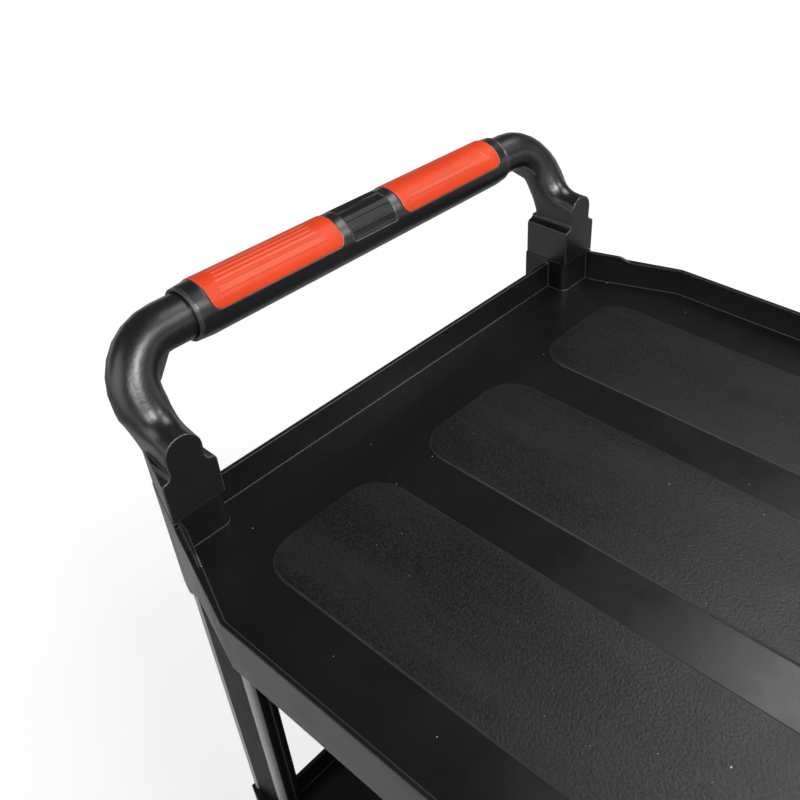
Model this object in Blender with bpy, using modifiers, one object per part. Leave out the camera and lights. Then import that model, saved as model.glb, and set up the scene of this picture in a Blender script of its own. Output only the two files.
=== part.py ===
"""Three-tier shelf trolley with moulded trays, profile legs, a push handle and swivel casters.

Metres, +Z up. +X runs from the handle end to the far end and +Y is on the left of someone who
pushes the trolley. The origin is on the floor, under the middle of the whole trolley.
Run it with blender --background --python part.py, or from the text editor.
"""
import math

import bmesh
import bpy
from mathutils import Matrix, Vector

# Trays, measured over the corner posts and over the rim
TRAY_LENGTH = 0.900
TRAY_WIDTH = 0.465
TIER_PITCH = 0.352
TIERS = 3
FLARE_LENGTH = 0.1154
FLARE_RISE = 0.0371
WALL = 0.0030
DRAFT = 0.0012
RIM_DROP = 0.0037
FLOOR_DEPTH = 0.0247
FLOOR_THICKNESS = 0.0030
SKIRT_DEPTH = 0.0412
END_WALL_INSET = 0.0197

# Corner posts, the sleeves under them and the ridge beside them
POST_LENGTH = 0.0403
POST_WIDTH = 0.0242
CORNER_WALL = 0.0061
INNER_STEP_LENGTH = 0.0092
INNER_STEP_RISE = 0.0014
BOSS_RADIUS = 0.0055
RIDGE_FLAT = 0.026
RIDGE_RAMP = 0.010
RIDGE_THICKNESS = 0.0030
SLEEVE_WALL = 0.0020
SLEEVE_DEPTH = 0.096
SLEEVE_RADIUS = 0.010
GUSSET_START = 0.011
GUSSET_DEPTH = 0.0513

# Raised floor panels and the ribs under the floor
PANEL_RISE = 0.0010
PANEL_HALF_WIDTH = 0.049
PANEL_GAP = 0.0366
SIDE_PANEL_WIDTH = 0.0975
PANEL_END_MARGIN = 0.0372
PANEL_RADIUS = 0.024
RIB_HEIGHT = 0.0100
RIB_THICKNESS = 0.0025
CROSS_RIBS = 4

# Legs and the spigots that locate them
LEG_WIDTH = 0.0394
LEG_THICKNESS = 0.0197
LEG_RADIUS = 0.0046
LEG_GROOVE_WIDTH = 0.0055
LEG_GROOVE_DEPTH = 0.0014
SPIGOT_WIDTH = 0.026
SPIGOT_THICKNESS = 0.011
SPIGOT_LENGTH = 0.020

# Handle
BAR_OVERHANG = 0.0119
BAR_RISE = 0.0882
LEAN_START = 0.0156
LEAN_RISE = 0.0394
BEND_SHIFT = 0.0016
TUBE_RADIUS = 0.0148
BEND_RADIUS = 0.031
ELBOW_STRAIGHT = 0.0168
ELBOW_INSERT = 0.014
BOOT_INSET = 0.0012
SHOULDER_RISE = 0.0265
SHOULDER_STEP = 0.0064
PARTING_HEIGHT = 0.0008
PARTING_DEPTH = 0.0007
NECK_HALF_WIDTH = 0.0121
NECK_REAR_INSET = 0.0012
NECK_TAPER = 0.14
NECK_BLEND = 0.0200
ARCH_RISE = 0.0427
BEND_WEB = 0.012
WEB_REACH = 0.026
CAP_HEIGHT = 0.0062
CORE_RADIUS = 0.0105
CORE_WALL = 0.0018
CORE_INSERT = 0.012

# Grip
GRIP_RADIUS = 0.0181
GRIP_BORE = 0.0152
STRIP_ANGLE = 46.0
PAD_SEAT_RADIUS = 0.0167
PAD_PROUD = 0.0005
PAD_END_MARGIN = 0.0115
PAD_MIDDLE_MARGIN = 0.0282
PAD_EDGE_ANGLE = 13.5
PAD_CORNER = 0.0055
INSERT_HALF_LENGTH = 0.0193
INSERT_RECESS = 0.0009
COLLAR_LENGTH = 0.0115
COLLAR_TAPER = 0.0010
COLLAR_RING = 0.0012
COLLAR_GROOVE = 0.0006
COLLAR_GROOVE_WIDTH = 0.0011
SCREW_HEAD_RADIUS = 0.0030
SCREW_HEAD_HEIGHT = 0.0015
SCREW_SHANK_RADIUS = 0.0015
SCREW_SPACING = 0.160

# The insert's section on one side: angle above level, and depth below the grip's round surface
# as a share of its recess. It runs over a lip, a recess, a ridge, a flat facet, a groove and
# a second ridge, up to the edge of the flat plate on top
INSERT_SECTION = [(11.0, 0.0), (14.0, 0.0), (15.5, 1.0), (28.0, 1.0), (29.5, 0.0), (31.5, 0.0),
                  (33.0, 0.5), (34.5, 0.1), (48.0, 0.1), (49.5, 1.0), (53.0, 1.0), (54.5, 0.0),
                  (57.0, 0.0), (58.0, 0.3), (64.0, 0.0), (70.0, 0.0)]

# Casters
WHEEL_RADIUS = 0.050
WHEEL_WIDTH = 0.030
TYRE_THICKNESS = 0.0105
CASTER_HEIGHT = 0.127
SWIVEL_INSET_X = 0.0753
SWIVEL_INSET_Y = 0.0725
TRAIL = 0.030
PLATE_LENGTH = 0.084
PLATE_WIDTH = 0.064
PLATE_THICKNESS = 0.003
RACE_RADIUS = 0.024
RACE_HEIGHT = 0.0055
FORK_SHEET = 0.003
FORK_GAP = 0.035
CROWN_THICKNESS = 0.004
AXLE_RADIUS = 0.004
BUSH_RADIUS = 0.0065
KINGPIN_RADIUS = 0.005

# Fits
FIT = 0.0003
RUNNING = 0.0003

# Facets
GRIP_SIDES = 30
ELBOW_SIDES = 22
BEND_STEPS = 7
NECK_STEPS = 7
WHEEL_SIDES = 26
HUB_SIDES = 14
PIN_SIDES = 10
CORE_SIDES = 12
ARC = 4
LEG_ARC = 3
CREASE_ANGLE = 38.0

# Places that follow from the sizes above
HALF_LENGTH = TRAY_LENGTH / 2
HALF_WIDTH = TRAY_WIDTH / 2
POST_OUTER_Y = HALF_WIDTH - FLARE_RISE
POST_INNER_Y = POST_OUTER_Y - POST_WIDTH
POST_FRONT_X = HALF_LENGTH - POST_LENGTH
SLEEVE_LENGTH = LEG_WIDTH + 2 * (SLEEVE_WALL + FIT)
LEG_X = HALF_LENGTH - SLEEVE_LENGTH / 2
LEG_Y = POST_INNER_Y + SLEEVE_WALL + FIT + LEG_THICKNESS / 2
NECK_Y = POST_INNER_Y + (POST_WIDTH + FLARE_RISE * POST_LENGTH / FLARE_LENGTH) / 2
BASE_TOP_Z = CASTER_HEIGHT + SKIRT_DEPTH
TOP_Z = BASE_TOP_Z + TIER_PITCH * (TIERS - 1)
SOCKET_ROOF = FLOOR_DEPTH + FLOOR_THICKNESS
BAR_X = HALF_LENGTH + BAR_OVERHANG
GRIP_HALF = NECK_Y - BEND_RADIUS - ELBOW_STRAIGHT
PAD_RADIUS = GRIP_RADIUS + PAD_PROUD
TRAY_X = (BAR_OVERHANG + GRIP_RADIUS) / 2
AXLE_Z = WHEEL_RADIUS
PLATE_Z = CASTER_HEIGHT - FIT
CROWN_TOP_Z = PLATE_Z - PLATE_THICKNESS - RACE_HEIGHT - FIT

PARTS = None
TOOLS = None


def start_scene():
    """Removes what the scene holds and makes the two collections."""
    global PARTS, TOOLS
    for old in list(bpy.data.objects):
        bpy.data.objects.remove(old, do_unlink=True)
    PARTS = bpy.data.collections.new("shelf_trolley")
    TOOLS = bpy.data.collections.new("shelf_trolley_cutters")
    bpy.context.scene.collection.children.link(PARTS)
    bpy.context.scene.collection.children.link(TOOLS)


def make_material(name, colour, roughness, metallic=0.0):
    """A Principled material; colour is linear RGB."""
    made = bpy.data.materials.new(name)
    made.use_nodes = True
    shader = made.node_tree.nodes["Principled BSDF"]
    shader.inputs["Base Color"].default_value = (*colour, 1.0)
    shader.inputs["Roughness"].default_value = roughness
    shader.inputs["Metallic"].default_value = metallic
    return made


def mesh_of(bm, name):
    """Turns an edit mesh into mesh data with its faces pointing out."""
    bmesh.ops.recalc_face_normals(bm, faces=bm.faces)
    mesh = bpy.data.meshes.new(name)
    bm.to_mesh(mesh)
    bm.free()
    return mesh


def add_part(name, mesh, material, location=(0, 0, 0), turn=0.0, smooth=True, parent=None):
    """Places one sub-part in the trolley's collection."""
    part = bpy.data.objects.new(name, mesh)
    PARTS.objects.link(part)
    part.location = location
    part.rotation_euler = (0, 0, turn)
    part.parent = parent
    if not mesh.materials:
        mesh.materials.append(material)
    if smooth:
        mesh.shade_smooth()
        mesh.set_sharp_from_angle(angle=math.radians(CREASE_ANGLE))
    return part


def add_tool(mesh):
    """Places a shape that only cuts, joins or trims another one."""
    tool = bpy.data.objects.new(mesh.name + "_tool", mesh)
    TOOLS.objects.link(tool)
    tool.hide_render = True
    tool.display_type = "WIRE"
    return tool


def combined(mesh, steps):
    """Runs a mesh through Booleans, one step each, and returns the finished mesh."""
    base = add_tool(mesh)
    tools = [base]
    for operation, other in steps:
        tool = add_tool(other)
        tools.append(tool)
        modifier = base.modifiers.new(operation.lower(), "BOOLEAN")
        modifier.operation = operation
        modifier.object = tool
        modifier.solver = "EXACT"
    bpy.context.view_layer.update()
    evaluated = base.evaluated_get(bpy.context.evaluated_depsgraph_get())
    result = bpy.data.meshes.new_from_object(evaluated)
    result.name = mesh.name
    for tool in tools:
        bpy.data.objects.remove(tool, do_unlink=True)
    return result


def lay(axis, a, b, c):
    """A point whose outline coordinates are a, b and whose place along the axis is c."""
    return {"X": (c, a, b), "Y": (a, c, b), "Z": (a, b, c)}[axis]


def add_prism(bm, outline, low, high, axis="Z"):
    """Adds an outline extruded from low to high along an axis."""
    face = bm.faces.new([bm.verts.new(lay(axis, a, b, low)) for a, b in outline])
    grown = bmesh.ops.extrude_face_region(bm, geom=[face])["geom"]
    moved = [item for item in grown if isinstance(item, bmesh.types.BMVert)]
    bmesh.ops.translate(bm, vec=Vector(lay(axis, 0, 0, high - low)), verts=moved)


def prism(name, outline, low, high, axis="Z"):
    """An extruded outline as mesh data."""
    bm = bmesh.new()
    add_prism(bm, outline, low, high, axis)
    return mesh_of(bm, name)


def box(name, low, high):
    """A box between two corners, as mesh data."""
    bm = bmesh.new()
    add_box(bm, low, high)
    return mesh_of(bm, name)


def add_box(bm, low, high):
    """Adds a box between two corners."""
    middle = [(a + b) / 2 for a, b in zip(low, high)]
    size = [b - a for a, b in zip(low, high)]
    place = Matrix.Translation(middle) @ Matrix.Diagonal((*size, 1.0))
    bmesh.ops.create_cube(bm, size=1.0, matrix=place)


def add_cylinder(bm, centre, radius, length, axis="Z", sides=PIN_SIDES, tip=None):
    """Adds a capped cylinder, or a cone frustum, centred on a point."""
    turn = {"X": Matrix.Rotation(math.pi / 2, 4, "Y"), "Y": Matrix.Rotation(-math.pi / 2, 4, "X")}
    place = Matrix.Translation(centre) @ turn.get(axis, Matrix.Identity(4))
    end = radius if tip is None else tip
    bmesh.ops.create_cone(bm, cap_ends=True, segments=sides, radius1=radius, radius2=end,
                          depth=length, matrix=place)


def cylinder(name, centre, radius, length, axis="Z", sides=PIN_SIDES):
    """A capped cylinder as mesh data."""
    bm = bmesh.new()
    add_cylinder(bm, centre, radius, length, axis, sides)
    return mesh_of(bm, name)


def joined(name, meshes):
    """Several separate bodies as one mesh, for a tool that cuts many places at once."""
    bm = bmesh.new()
    for mesh in meshes:
        bm.from_mesh(mesh)
        bpy.data.meshes.remove(mesh)
    return mesh_of(bm, name)


def four_ways(quarter):
    """A closed outline from its part in the +X +Y quarter, which runs from the end to the side."""
    back = [(-x, y) for x, y in reversed(quarter)]
    left = [(-x, -y) for x, y in quarter]
    front = [(x, -y) for x, y in reversed(quarter)]
    return quarter + back + left + front


def at_four_corners(points):
    """The same outline at the four corners of the tray, each as its own outline."""
    return [[(sx * x, sy * y) for x, y in points] for sx in (1, -1) for sy in (1, -1)]


def inset(outline, distance):
    """Moves each side of a closed anticlockwise outline inwards by a distance."""
    moved = []
    count = len(outline)
    for i in range(count):
        here = Vector(outline[i])
        before = (here - Vector(outline[i - 1])).normalized()
        after = (Vector(outline[(i + 1) % count]) - here).normalized()
        normal_before = Vector((-before.y, before.x))
        normal_after = Vector((-after.y, after.x))
        bisector = (normal_before + normal_after).normalized()
        reach = distance / max(bisector.dot(normal_before), 0.2)
        moved.append(tuple(here + bisector * reach))
    return moved


def rounded(outline, radii, steps=ARC):
    """Replaces corners of a closed outline by arcs; radii maps a corner's index to its radius."""
    made = []
    count = len(outline)
    for i in range(count):
        here = Vector(outline[i])
        radius = radii.get(i, 0.0)
        if radius == 0.0:
            made.append(tuple(here))
            continue
        to_last = (Vector(outline[i - 1]) - here).normalized()
        to_next = (Vector(outline[(i + 1) % count]) - here).normalized()
        half = to_last.angle(to_next) / 2
        reach = radius / math.tan(half)
        centre = here + (to_last + to_next).normalized() * radius / math.sin(half)
        first = here + to_last * reach - centre
        last = here + to_next * reach - centre
        sweep = first.angle_signed(last)
        for k in range(steps + 1):
            turned = first.copy()
            turned.rotate(Matrix.Rotation(-sweep * k / steps, 2))
            made.append(tuple(centre + turned))
    return made


def rounded_box(half_a, half_b, radius, centre=(0.0, 0.0), steps=ARC):
    """A rounded rectangle outline, anticlockwise."""
    a, b = centre
    corners = [(a - half_a, b - half_b), (a + half_a, b - half_b),
               (a + half_a, b + half_b), (a - half_a, b + half_b)]
    return rounded(corners, {i: radius for i in range(4)}, steps)


def loft(name, lower, upper):
    """A closed solid between two outlines with as many points, each with its own height."""
    bm = bmesh.new()
    low_points, low_z = lower
    high_points, high_z = upper
    low = [bm.verts.new((x, y, low_z)) for x, y in low_points]
    high = [bm.verts.new((x, y, high_z)) for x, y in high_points]
    bm.faces.new(low)
    bm.faces.new(high)
    count = len(low)
    for i in range(count):
        j = (i + 1) % count
        bm.faces.new((low[i], low[j], high[j], high[i]))
    return mesh_of(bm, name)


def flare_y(x):
    """The trays' outer side, which runs straight from the post's end to the parallel sides."""
    return min(HALF_WIDTH, POST_OUTER_Y + FLARE_RISE * (HALF_LENGTH - x) / FLARE_LENGTH)


def tray_outline():
    """The outer plan of a tray: end walls between posts, flared corners and parallel sides."""
    return four_ways([(HALF_LENGTH - END_WALL_INSET, POST_INNER_Y),
                      (HALF_LENGTH, POST_INNER_Y),
                      (HALF_LENGTH, POST_OUTER_Y),
                      (HALF_LENGTH - FLARE_LENGTH, HALF_WIDTH)])


def well_outline(spread):
    """The plan of the tray's inside at a height where the draft has opened it by spread."""
    side = HALF_WIDTH - WALL - DRAFT
    end = HALF_LENGTH - END_WALL_INSET - WALL - DRAFT
    wall_y = flare_y(POST_FRONT_X) - CORNER_WALL
    corner = four_ways([(end, POST_INNER_Y),
                        (POST_FRONT_X, POST_INNER_Y),
                        (POST_FRONT_X, wall_y),
                        (POST_FRONT_X - INNER_STEP_LENGTH, wall_y + INNER_STEP_RISE),
                        (HALF_LENGTH - FLARE_LENGTH, side)])
    boss_corners = (1, 8, 11, 18)
    outline = inset(corner, -spread)
    return rounded(outline, {i: BOSS_RADIUS - spread for i in boss_corners}, 4)


def under_outline():
    """The plan of the hollow under the floor, which leaves a solid block at each post."""
    end = HALF_LENGTH - END_WALL_INSET - WALL
    block_x = HALF_LENGTH - SLEEVE_LENGTH
    slant = WALL * math.hypot(FLARE_LENGTH, FLARE_RISE) / FLARE_LENGTH
    return four_ways([(end, POST_INNER_Y), (block_x, POST_INNER_Y),
                      (block_x, flare_y(block_x) - slant),
                      (HALF_LENGTH - FLARE_LENGTH, HALF_WIDTH - WALL)])


def ridge_cut():
    """The side view of what is cut off the walls' tops, with an S curve down from each ridge."""
    start = POST_FRONT_X - RIDGE_FLAT
    above = FLOOR_DEPTH / 2
    curve = []
    for k in range(ARC + 1):
        share = k / ARC
        fall = RIM_DROP * (1 - math.cos(math.pi * share)) / 2
        curve.append((start - RIDGE_RAMP * share, -fall))
    mirrored = [(-x, z) for x, z in reversed(curve)]
    return [(start, above)] + curve + mirrored + [(-start, above)]


def drop_trim():
    """The side view of what is cut away below the skirt, leaving a tapering drop at each post."""
    deep = SLEEVE_DEPTH * 1.5
    past = HALF_LENGTH + SLEEVE_WALL
    tip_x = HALF_LENGTH - SLEEVE_RADIUS / 2
    slope_x = POST_FRONT_X - GUSSET_START
    side = [(past, -SLEEVE_DEPTH + SLEEVE_RADIUS), (tip_x, -SLEEVE_DEPTH),
            (slope_x, -GUSSET_DEPTH), (HALF_LENGTH - FLARE_LENGTH, -SKIRT_DEPTH)]
    side = rounded([(past, -deep)] + side + [(0, -SKIRT_DEPTH), (0, -deep)], {2: SLEEVE_RADIUS}, 4)
    half = side[:-2]
    return half + [(-x, z) for x, z in reversed(half)]


def leg_sockets():
    """The four holes that the legs' upper ends go into."""
    bm = bmesh.new()
    outline = rounded_box(LEG_WIDTH / 2 + FIT, LEG_THICKNESS / 2 + FIT, LEG_RADIUS + FIT,
                          steps=LEG_ARC)
    for sx in (1, -1):
        for sy in (1, -1):
            moved = [(sx * LEG_X + x, sy * LEG_Y + y) for x, y in outline]
            add_prism(bm, moved, -SLEEVE_DEPTH * 1.2, -SOCKET_ROOF)
    return mesh_of(bm, "leg_sockets")


def post_sockets():
    """The four holes in the post tops, for a boot's, a cap's or an upper leg's spigot."""
    bm = bmesh.new()
    half_x = SPIGOT_WIDTH / 2 + FIT
    half_y = SPIGOT_THICKNESS / 2 + FIT
    for sx in (1, -1):
        for sy in (1, -1):
            low = (sx * LEG_X - half_x, sy * LEG_Y - half_y, -SPIGOT_LENGTH - 2 * FIT)
            high = (sx * LEG_X + half_x, sy * LEG_Y + half_y, SPIGOT_LENGTH)
            add_box(bm, low, high)
    return mesh_of(bm, "post_sockets")


def floor_panels():
    """Three raised panels with round corners, from inside the floor to just above it."""
    bm = bmesh.new()
    half_length = POST_FRONT_X - PANEL_END_MARGIN
    side_centre = PANEL_HALF_WIDTH + PANEL_GAP + SIDE_PANEL_WIDTH / 2
    for centre, half in ((0, PANEL_HALF_WIDTH), (side_centre, SIDE_PANEL_WIDTH / 2),
                         (-side_centre, SIDE_PANEL_WIDTH / 2)):
        outline = rounded_box(half_length, half, PANEL_RADIUS, (0, centre), ARC)
        add_prism(bm, outline, -FLOOR_DEPTH - FLOOR_THICKNESS / 2, -FLOOR_DEPTH + PANEL_RISE)
    return mesh_of(bm, "panels")


def long_ribs():
    """Two ribs along the underside, under the gutters between the panels."""
    bm = bmesh.new()
    rib_y = PANEL_HALF_WIDTH + PANEL_GAP / 2
    reach = HALF_LENGTH - END_WALL_INSET - WALL / 2
    top = -FLOOR_DEPTH - FLOOR_THICKNESS / 2
    bottom = -FLOOR_DEPTH - FLOOR_THICKNESS - RIB_HEIGHT
    for sy in (1, -1):
        low = (-reach, sy * rib_y - RIB_THICKNESS / 2, bottom)
        high = (reach, sy * rib_y + RIB_THICKNESS / 2, top)
        add_box(bm, low, high)
    return mesh_of(bm, "long_ribs")


def cross_ribs():
    """Ribs across the underside between the parallel sides, a little shallower."""
    bm = bmesh.new()
    span = 2 * (HALF_LENGTH - FLARE_LENGTH)
    top = -FLOOR_DEPTH - FLOOR_THICKNESS / 2
    bottom = -FLOOR_DEPTH - FLOOR_THICKNESS - RIB_HEIGHT * 0.9
    reach = HALF_WIDTH - WALL / 2
    for k in range(CROSS_RIBS):
        x = -span / 2 + span * (k + 0.5) / CROSS_RIBS
        low = (x - RIB_THICKNESS / 2, -reach, bottom)
        high = (x + RIB_THICKNESS / 2, reach, top)
        add_box(bm, low, high)
    return mesh_of(bm, "cross_ribs")


def ridge_trims():
    """Cuts beside each post that leave only the wall's inner part standing as the ridge."""
    bm = bmesh.new()
    back = POST_FRONT_X
    front = POST_FRONT_X - RIDGE_FLAT - RIDGE_RAMP - RIDGE_THICKNESS
    outside = CORNER_WALL * 2
    thickness = CORNER_WALL - RIDGE_THICKNESS
    for sx in (1, -1):
        for sy in (1, -1):
            line = [(sx * x, sy * (flare_y(x) - thickness)) for x in (front, back)]
            far = [(sx * x, sy * (flare_y(x) + outside)) for x in (back, front)]
            add_prism(bm, line + far, -RIM_DROP, FLOOR_DEPTH / 2)
    return mesh_of(bm, "ridge_trims")


def end_trims():
    """Cuts that bring the end walls between the posts down to the rim's height."""
    bm = bmesh.new()
    half = POST_INNER_Y
    for sx in (1, -1):
        low_x, high_x = sorted((sx * (POST_FRONT_X - FIT), sx * (HALF_LENGTH + FIT)))
        add_box(bm, (low_x, -half, -RIM_DROP), (high_x, half, FLOOR_DEPTH / 2))
    return mesh_of(bm, "end_trims")


def tray_mesh(body):
    """Finishes a tray from its outer shape: inside, underside, rim, ribs, panels and sockets."""
    opened = DRAFT * (FLOOR_DEPTH + WALL) / (FLOOR_DEPTH - RIM_DROP)
    well = loft("well", (well_outline(0.0), -FLOOR_DEPTH), (well_outline(opened), WALL))
    under = prism("under", under_outline(), -SLEEVE_DEPTH * 2, -SOCKET_ROOF)
    ridge = prism("ridge", ridge_cut(), -TRAY_WIDTH, TRAY_WIDTH, "Y")
    return combined(body, [("DIFFERENCE", under), ("DIFFERENCE", well), ("DIFFERENCE", ridge),
                           ("DIFFERENCE", ridge_trims()), ("DIFFERENCE", end_trims()),
                           ("UNION", long_ribs()), ("UNION", cross_ribs()),
                           ("UNION", floor_panels()), ("DIFFERENCE", post_sockets())])


def shelf_tray_mesh():
    """A tray with a tapering sleeve for a leg below each post, used for the upper tiers."""
    deep = SLEEVE_DEPTH * 1.1
    body = prism("shelf_tray", tray_outline(), -deep, 0)
    drop = prism("drop", drop_trim(), -TRAY_WIDTH, TRAY_WIDTH, "Y")
    between = box("between", (-TRAY_LENGTH, -POST_INNER_Y, -deep * 2),
                  (TRAY_LENGTH, POST_INNER_Y, -SKIRT_DEPTH))
    trimmed = combined(body, [("DIFFERENCE", drop), ("DIFFERENCE", between)])
    return combined(tray_mesh(trimmed), [("DIFFERENCE", leg_sockets())])


def caster_places():
    """Name and swivel axis of each caster."""
    x = HALF_LENGTH - SWIVEL_INSET_X
    y = HALF_WIDTH - SWIVEL_INSET_Y
    return [("handle_left", TRAY_X - x, y), ("handle_right", TRAY_X - x, -y),
            ("far_left", TRAY_X + x, y), ("far_right", TRAY_X + x, -y)]


def base_tray_mesh():
    """The lowest tray: no sleeves, but a solid pad in each corner for a caster's plate."""
    inner_x = HALF_LENGTH - SWIVEL_INSET_X - PLATE_LENGTH / 2 - SLEEVE_WALL
    inner_y = HALF_WIDTH - SWIVEL_INSET_Y - PLATE_WIDTH / 2 - SLEEVE_WALL
    pads = bmesh.new()
    for outline in at_four_corners([(HALF_LENGTH, inner_y), (HALF_LENGTH, HALF_WIDTH),
                                    (inner_x, HALF_WIDTH), (inner_x, inner_y)]):
        add_prism(pads, outline, -SKIRT_DEPTH, -FLOOR_DEPTH - FLOOR_THICKNESS / 2)
    plan = prism("plan", tray_outline(), -SKIRT_DEPTH * 2, SKIRT_DEPTH)
    within = combined(mesh_of(pads, "pads"), [("INTERSECT", plan)])
    body = prism("base_tray", tray_outline(), -SKIRT_DEPTH, 0)
    return combined(tray_mesh(body), [("UNION", within), ("DIFFERENCE", post_sockets())])


def make_trays(plastic):
    """Places the trays, lowest first."""
    shelf = shelf_tray_mesh()
    base = base_tray_mesh()
    names = ["base_tray"] + ["middle_tray"] * (TIERS - 2) + ["top_tray"]
    for tier, name in enumerate(names):
        mesh = base if tier == 0 else shelf
        place = (TRAY_X, 0, BASE_TOP_Z + tier * TIER_PITCH)
        add_part(name, mesh, plastic, place)


def leg_mesh():
    """A leg: a round-cornered profile with a groove down each narrow face, and a spigot below."""
    half_w = LEG_WIDTH / 2
    half_t = LEG_THICKNESS / 2
    top = TIER_PITCH - SOCKET_ROOF - FIT
    body = prism("leg", rounded_box(half_w, half_t, LEG_RADIUS, steps=LEG_ARC), FIT, top)
    grooves = bmesh.new()
    for sx in (1, -1):
        near = sx * (half_w - LEG_GROOVE_DEPTH)
        far = sx * (half_w + LEG_GROOVE_DEPTH)
        low_x, high_x = sorted((near, far))
        half_g = LEG_GROOVE_WIDTH / 2
        add_box(grooves, (low_x, -half_g, -LEG_WIDTH), (high_x, half_g, TIER_PITCH))
    half_x = SPIGOT_WIDTH / 2
    half_y = SPIGOT_THICKNESS / 2
    spigot = box("spigot", (-half_x, -half_y, -SPIGOT_LENGTH), (half_x, half_y, SPIGOT_LENGTH))
    return combined(body, [("DIFFERENCE", mesh_of(grooves, "grooves")), ("UNION", spigot)])


def make_legs(plastic):
    """Places four legs between each pair of trays."""
    mesh = leg_mesh()
    levels = ["lower", "upper"] if TIERS == 3 else ["tier%d" % k for k in range(TIERS - 1)]
    for tier, level in enumerate(levels):
        z = BASE_TOP_Z + tier * TIER_PITCH
        for end, sx in (("handle", -1), ("far", 1)):
            for side, sy in (("left", 1), ("right", -1)):
                name = "leg_%s_%s_%s" % (level, end, side)
                add_part(name, mesh, plastic, (TRAY_X + sx * LEG_X, sy * LEG_Y, z))


def boot_outline():
    """The front view of a boot's block, with ogee shoulders up to the neck."""
    outer = flare_y(POST_FRONT_X) - FIT
    low = FIT + PARTING_HEIGHT
    ogee = [(0.0, 0.0), (0.10, 0.34), (0.34, 0.47), (0.72, 0.55), (0.93, 0.72), (1.0, 1.0)]
    right = [(outer + (NECK_Y + NECK_HALF_WIDTH - outer) * across,
              SHOULDER_RISE + SHOULDER_STEP * up) for across, up in ogee]
    left = [(POST_INNER_Y + (NECK_Y - NECK_HALF_WIDTH - POST_INNER_Y) * across,
             SHOULDER_RISE + SHOULDER_STEP * up) for across, up in reversed(ogee)]
    return [(POST_INNER_Y, low), (outer, low)] + right + left


def post_plan(sx, grow):
    """The plan of a post on the +Y side at one end, with every side moved out by grow."""
    end = HALF_LENGTH - BOOT_INSET + grow
    start = POST_FRONT_X - grow
    outer = [(sx * x, flare_y(x) - FIT + grow) for x in (end, start)]
    plan = [(sx * start, POST_INNER_Y - grow), (sx * end, POST_INNER_Y - grow)] + outer
    return plan if sx > 0 else list(reversed(plan))


def section(centre, first, second, radius):
    """A round ring of points about a centre, in the plane of two unit vectors."""
    turns = [2 * math.pi * k / ELBOW_SIDES for k in range(ELBOW_SIDES)]
    return [centre + (first * math.cos(t) + second * math.sin(t)) * radius for t in turns]


def neck_section(top, bottom, half_width, centre_y, taper):
    """An upright ring between two points of the side view: round top and foot, straight sides.

    taper draws the outer side in towards the post's slanting outer face.
    """
    span = top - bottom
    height = span.length
    up = span / height
    ring = []
    for k in range(ELBOW_SIDES):
        turn = 2 * math.pi * k / ELBOW_SIDES
        across = half_width * math.cos(turn)
        level = height - half_width if turn <= math.pi else half_width
        place = bottom + up * (level + half_width * math.sin(turn))
        out = max(across, 0.0) / half_width
        lean = taper * max(-place.x - POST_FRONT_X, 0.0) * out
        ring.append(Vector((place.x, centre_y + across - lean, place.y)))
    return ring


def arc_between(start, knee, end, steps):
    """Points on a smooth curve from start to end that leaves and arrives towards a knee."""
    made = []
    for k in range(steps):
        t = k / (steps - 1)
        made.append(start * (1 - t) ** 2 + knee * 2 * t * (1 - t) + end * t ** 2)
    return made


def elbow_sections():
    """All sections of an elbow, from inside the grip to the boot's front face.

    The bar turns through a quarter circle into the leaning tube. There the sections begin to
    fan out: their tops run over the neck's crown to its front, their feet down its back.
    """
    corner = Vector((-BAR_X, NECK_Y - BEND_SHIFT, BAR_RISE))
    foot = Vector((-(HALF_LENGTH - LEAN_START), NECK_Y, LEAN_RISE))
    inward = Vector((0, -1, 0))
    down = (foot - corner).normalized()
    front = inward.cross(down).normalized()
    centre = corner + (inward + down) * BEND_RADIUS
    start = Vector((-BAR_X, GRIP_HALF - ELBOW_INSERT, BAR_RISE))
    rings = [section(start, -down, front, TUBE_RADIUS)]
    for k in range(BEND_STEPS + 1):
        turn = math.pi / 2 * k / BEND_STEPS
        outward = -down * math.cos(turn) - inward * math.sin(turn)
        rings.append(section(centre + outward * BEND_RADIUS, outward, front, TUBE_RADIUS))
    base = foot - down * NECK_BLEND
    side_down = Vector((down.x, down.z)).normalized()
    high = Vector((base.x + front.x * TUBE_RADIUS, base.z + front.z * TUBE_RADIUS))
    low = Vector((base.x - front.x * TUBE_RADIUS, base.z - front.z * TUBE_RADIUS))
    crown_z = ARCH_RISE + NECK_HALF_WIDTH
    rear_x = -(HALF_LENGTH - NECK_REAR_INSET)
    reach = (crown_z - high.y) / side_down.y
    drop = (rear_x - low.x) / side_down.x
    crown_knee = high + side_down * reach
    rear_knee = low + side_down * drop
    crown_end = crown_knee + Vector((reach, 0.0))
    rear_end = rear_knee - Vector((0.0, drop * 0.9))
    tops = arc_between(high, crown_knee, crown_end, NECK_STEPS)
    feet = arc_between(low, rear_knee, rear_end, NECK_STEPS)
    tops.append(Vector((-POST_FRONT_X, crown_z)))
    feet.append(Vector((-POST_FRONT_X, SHOULDER_RISE * 0.85)))
    for k, (top, bottom) in enumerate(zip(tops, feet)):
        share = min(1.0, k / (NECK_STEPS - 1))
        half_width = TUBE_RADIUS + (NECK_HALF_WIDTH - TUBE_RADIUS) * share ** 0.8
        rings.append(neck_section(top, bottom, half_width, base.y + (NECK_Y - base.y) * share,
                                  NECK_TAPER * share))
    return rings, corner, inward, down


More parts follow.
